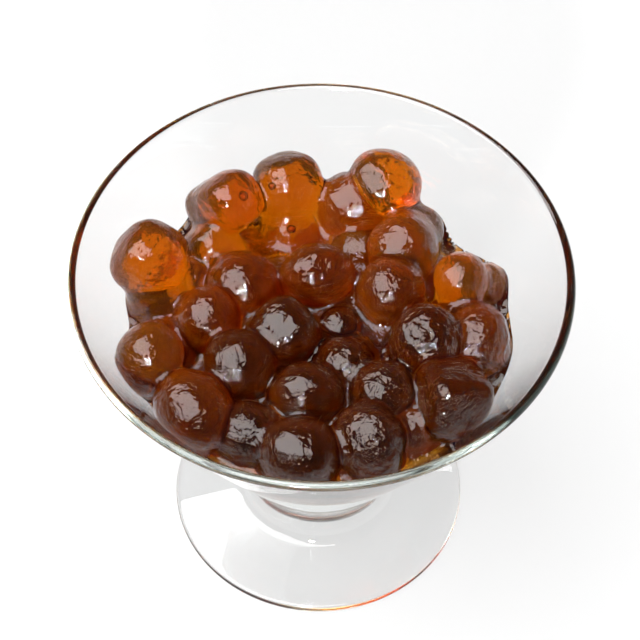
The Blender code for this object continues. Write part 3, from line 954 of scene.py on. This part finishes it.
# %% Floor and world
FLOOR_HALF = 3.0  # half the side of the sheet, in metres
FLOOR_DROP = 0.0001  # and how far it lies below the foot
FLOOR_WHITE = 0.15  # share of light that the floor gives back, low because the lights are strong
FLOOR_GLOW = 0.69  # what comes through the floor from below
WHITE_FLOOR_Y = -0.11  # in metres: behind this line the floor is white
DIM_FLOOR_Y = -0.30  # and in front of this one it is dim
DIM_FLOOR_SHARE = 0.12
WHITE_UP_TO = 0.0  # height of a direction where the white starts to fade
DIM_FROM = 0.10  # and where it has faded
DIM_IN_FRONT = 0.25
ROOM_WHITE = 1.0
ROOM_DIM = 0.07


def floor_material():
    """Matt white that glows a little, and fades towards the front with the place along y."""
    material = bpy.data.materials.new("white_floor")
    material.use_nodes = True
    nodes, links = material.node_tree.nodes, material.node_tree.links
    shader = nodes["Principled BSDF"]
    shader.inputs["Roughness"].default_value = 0.9
    shader.inputs["Specular IOR Level"].default_value = 0.0
    shader.inputs["Emission Color"].default_value = (1, 1, 1, 1)
    where = nodes.new("ShaderNodeTexCoord")
    split = nodes.new("ShaderNodeSeparateXYZ")
    links.new(where.outputs["Object"], split.inputs["Vector"])
    for full, socket in ((FLOOR_WHITE, "Base Color"), (FLOOR_GLOW, "Emission Strength")):
        fade = nodes.new("ShaderNodeMapRange")
        fade.interpolation_type = "SMOOTHSTEP"
        fade.inputs["From Min"].default_value = DIM_FLOOR_Y
        fade.inputs["From Max"].default_value = WHITE_FLOOR_Y
        fade.inputs["To Min"].default_value = full * DIM_FLOOR_SHARE
        fade.inputs["To Max"].default_value = full
        links.new(split.outputs["Y"], fade.inputs["Value"])
        links.new(fade.outputs["Result"], shader.inputs[socket])
    return material


def white_floor():
    """A large sheet a hair below the foot."""
    signs = (-1, -1), (1, -1), (1, 1), (-1, 1)
    corners = [(x * FLOOR_HALF, y * FLOOR_HALF, -FLOOR_DROP) for x, y in signs]
    mesh = bpy.data.meshes.new("floor")
    mesh.from_pydata(corners, [], [(0, 1, 2, 3)])
    mesh.materials.append(floor_material())
    floor = bpy.data.objects.new("floor", mesh)
    bpy.context.scene.collection.objects.link(floor)


def room():
    """A world that fades from white to dim with a value of the direction (x, y, z): the larger of
    z and -a y, so that above the horizon and in front of the dish it is dim."""
    world = bpy.data.worlds.new("room")
    bpy.context.scene.world = world
    world.use_nodes = True
    nodes, links = world.node_tree.nodes, world.node_tree.links
    where = nodes.new("ShaderNodeTexCoord")
    split = nodes.new("ShaderNodeSeparateXYZ")
    links.new(where.outputs["Generated"], split.inputs["Vector"])
    in_front = nodes.new("ShaderNodeMath")
    in_front.operation = "MULTIPLY"
    links.new(split.outputs["Y"], in_front.inputs[0])
    in_front.inputs[1].default_value = -DIM_IN_FRONT
    larger = nodes.new("ShaderNodeMath")
    larger.operation = "MAXIMUM"
    links.new(split.outputs["Z"], larger.inputs[0])
    links.new(in_front.outputs["Value"], larger.inputs[1])
    ramp = nodes.new("ShaderNodeValToRGB")
    low, high = ramp.color_ramp.elements
    low.position, low.color = WHITE_UP_TO, (1, 1, 1, 1)
    dim = ROOM_DIM / ROOM_WHITE
    high.position, high.color = DIM_FROM, (dim, dim, dim, 1)
    links.new(larger.outputs["Value"], ramp.inputs["Fac"])
    links.new(ramp.outputs["Color"], nodes["Background"].inputs["Color"])
    nodes["Background"].inputs["Strength"].default_value = ROOM_WHITE


white_floor()
room()

# %% [markdown]
# ## Lights
#
# A large soft light hangs above the dish, to the left. Its mirror image is the pale patch on
# every pearl. A small bright one stands lower in front, and gives the sharp sparks.

# %% Lights
HEAP_MIDDLE = Vector((0, 0, 0.06))  # in metres: where both lights are turned to


def soft_light(name, towards, distance, width, height, radiance):
    """A flat light that faces the heap, at a distance in metres towards a direction. Its power
    is pi times its width, its height and its radiance."""
    light = bpy.data.lights.new(name, "AREA")
    light.shape = "RECTANGLE"
    light.size = width
    light.size_y = height
    light.energy = radiance * math.pi * width * height
    thing = bpy.data.objects.new(name, light)
    way = Vector(towards).normalized()
    thing.location = way * distance + HEAP_MIDDLE
    thing.rotation_mode = "QUATERNION"
    thing.rotation_quaternion = way.to_track_quat("Z", "Y")
    bpy.context.scene.collection.objects.link(thing)


soft_light("large_softbox", (-0.45, -0.15, 0.88), 1.5, 2.2, 1.9, 6.2)
soft_light("small_front_light", (-0.10, -0.85, 0.50), 1.5, 0.15, 0.15, 450.0)

# %% [markdown]
# ## Camera
#
# The camera looks down on the dish, at the angle of a person who is about to eat. Its place and
# its lens were found by laying the outlines of rim, stem and foot over the photo.

# %% Camera
PHOTO_SIDE = 640  # width and height of the picture, in pixels
LENS_PIXELS = 2350.0  # the lens's focal length in pixels of the picture
ELEVATION = math.radians(53.9)
DISTANCE = 438.4  # from the camera to the level of the rim, along the view
DROP = 8.98  # how far the middle of the picture lies below the middle of the rim
ROLL = math.radians(0.8)
MIDDLE_X = 320.7  # the column of the picture that the dish's axis lies on
SENSOR = 36.0
SEEN_FROM = 0.01  # in metres: what is nearer to the camera isn't drawn
SEEN_TO = 20.0


def camera():
    """A camera placed by its distance and elevation from the middle of the rim."""
    ahead = Vector((0, math.cos(ELEVATION), -math.sin(ELEVATION)))
    right = Vector((1, 0, 0))
    up = right.cross(ahead)
    place = Vector((0, 0, HEIGHT)) - ahead * DISTANCE - up * DROP
    across = right * math.cos(ROLL) + up * math.sin(ROLL)
    above = up * math.cos(ROLL) - right * math.sin(ROLL)
    data = bpy.data.cameras.new("camera")
    data.sensor_width = SENSOR
    data.lens = LENS_PIXELS / PHOTO_SIDE * SENSOR
    data.shift_x = -(MIDDLE_X - PHOTO_SIDE / 2) / PHOTO_SIDE
    data.clip_start = SEEN_FROM
    data.clip_end = SEEN_TO
    eye = bpy.data.objects.new("camera", data)
    turn = Matrix((across, above, -ahead)).transposed()
    eye.matrix_world = Matrix.Translation(place * MM) @ turn.to_4x4()
    bpy.context.scene.collection.objects.link(eye)
    bpy.context.scene.camera = eye


camera()

# %% [markdown]
# ## Light paths
#
# Light crosses a dozen surfaces on its way through glass, syrup and pearls, so it is followed
# for longer than usual. The plain view transform keeps white paper white.

# %% How far light is followed
scene = bpy.context.scene
scene.view_settings.view_transform = "Standard"
scene.cycles.max_bounces = 40
scene.cycles.transmission_bounces = 36
scene.cycles.glossy_bounces = 16
scene.cycles.transparent_max_bounces = 16
scene.cycles.volume_bounces = 0
scene.cycles.sample_clamp_indirect = 12.0
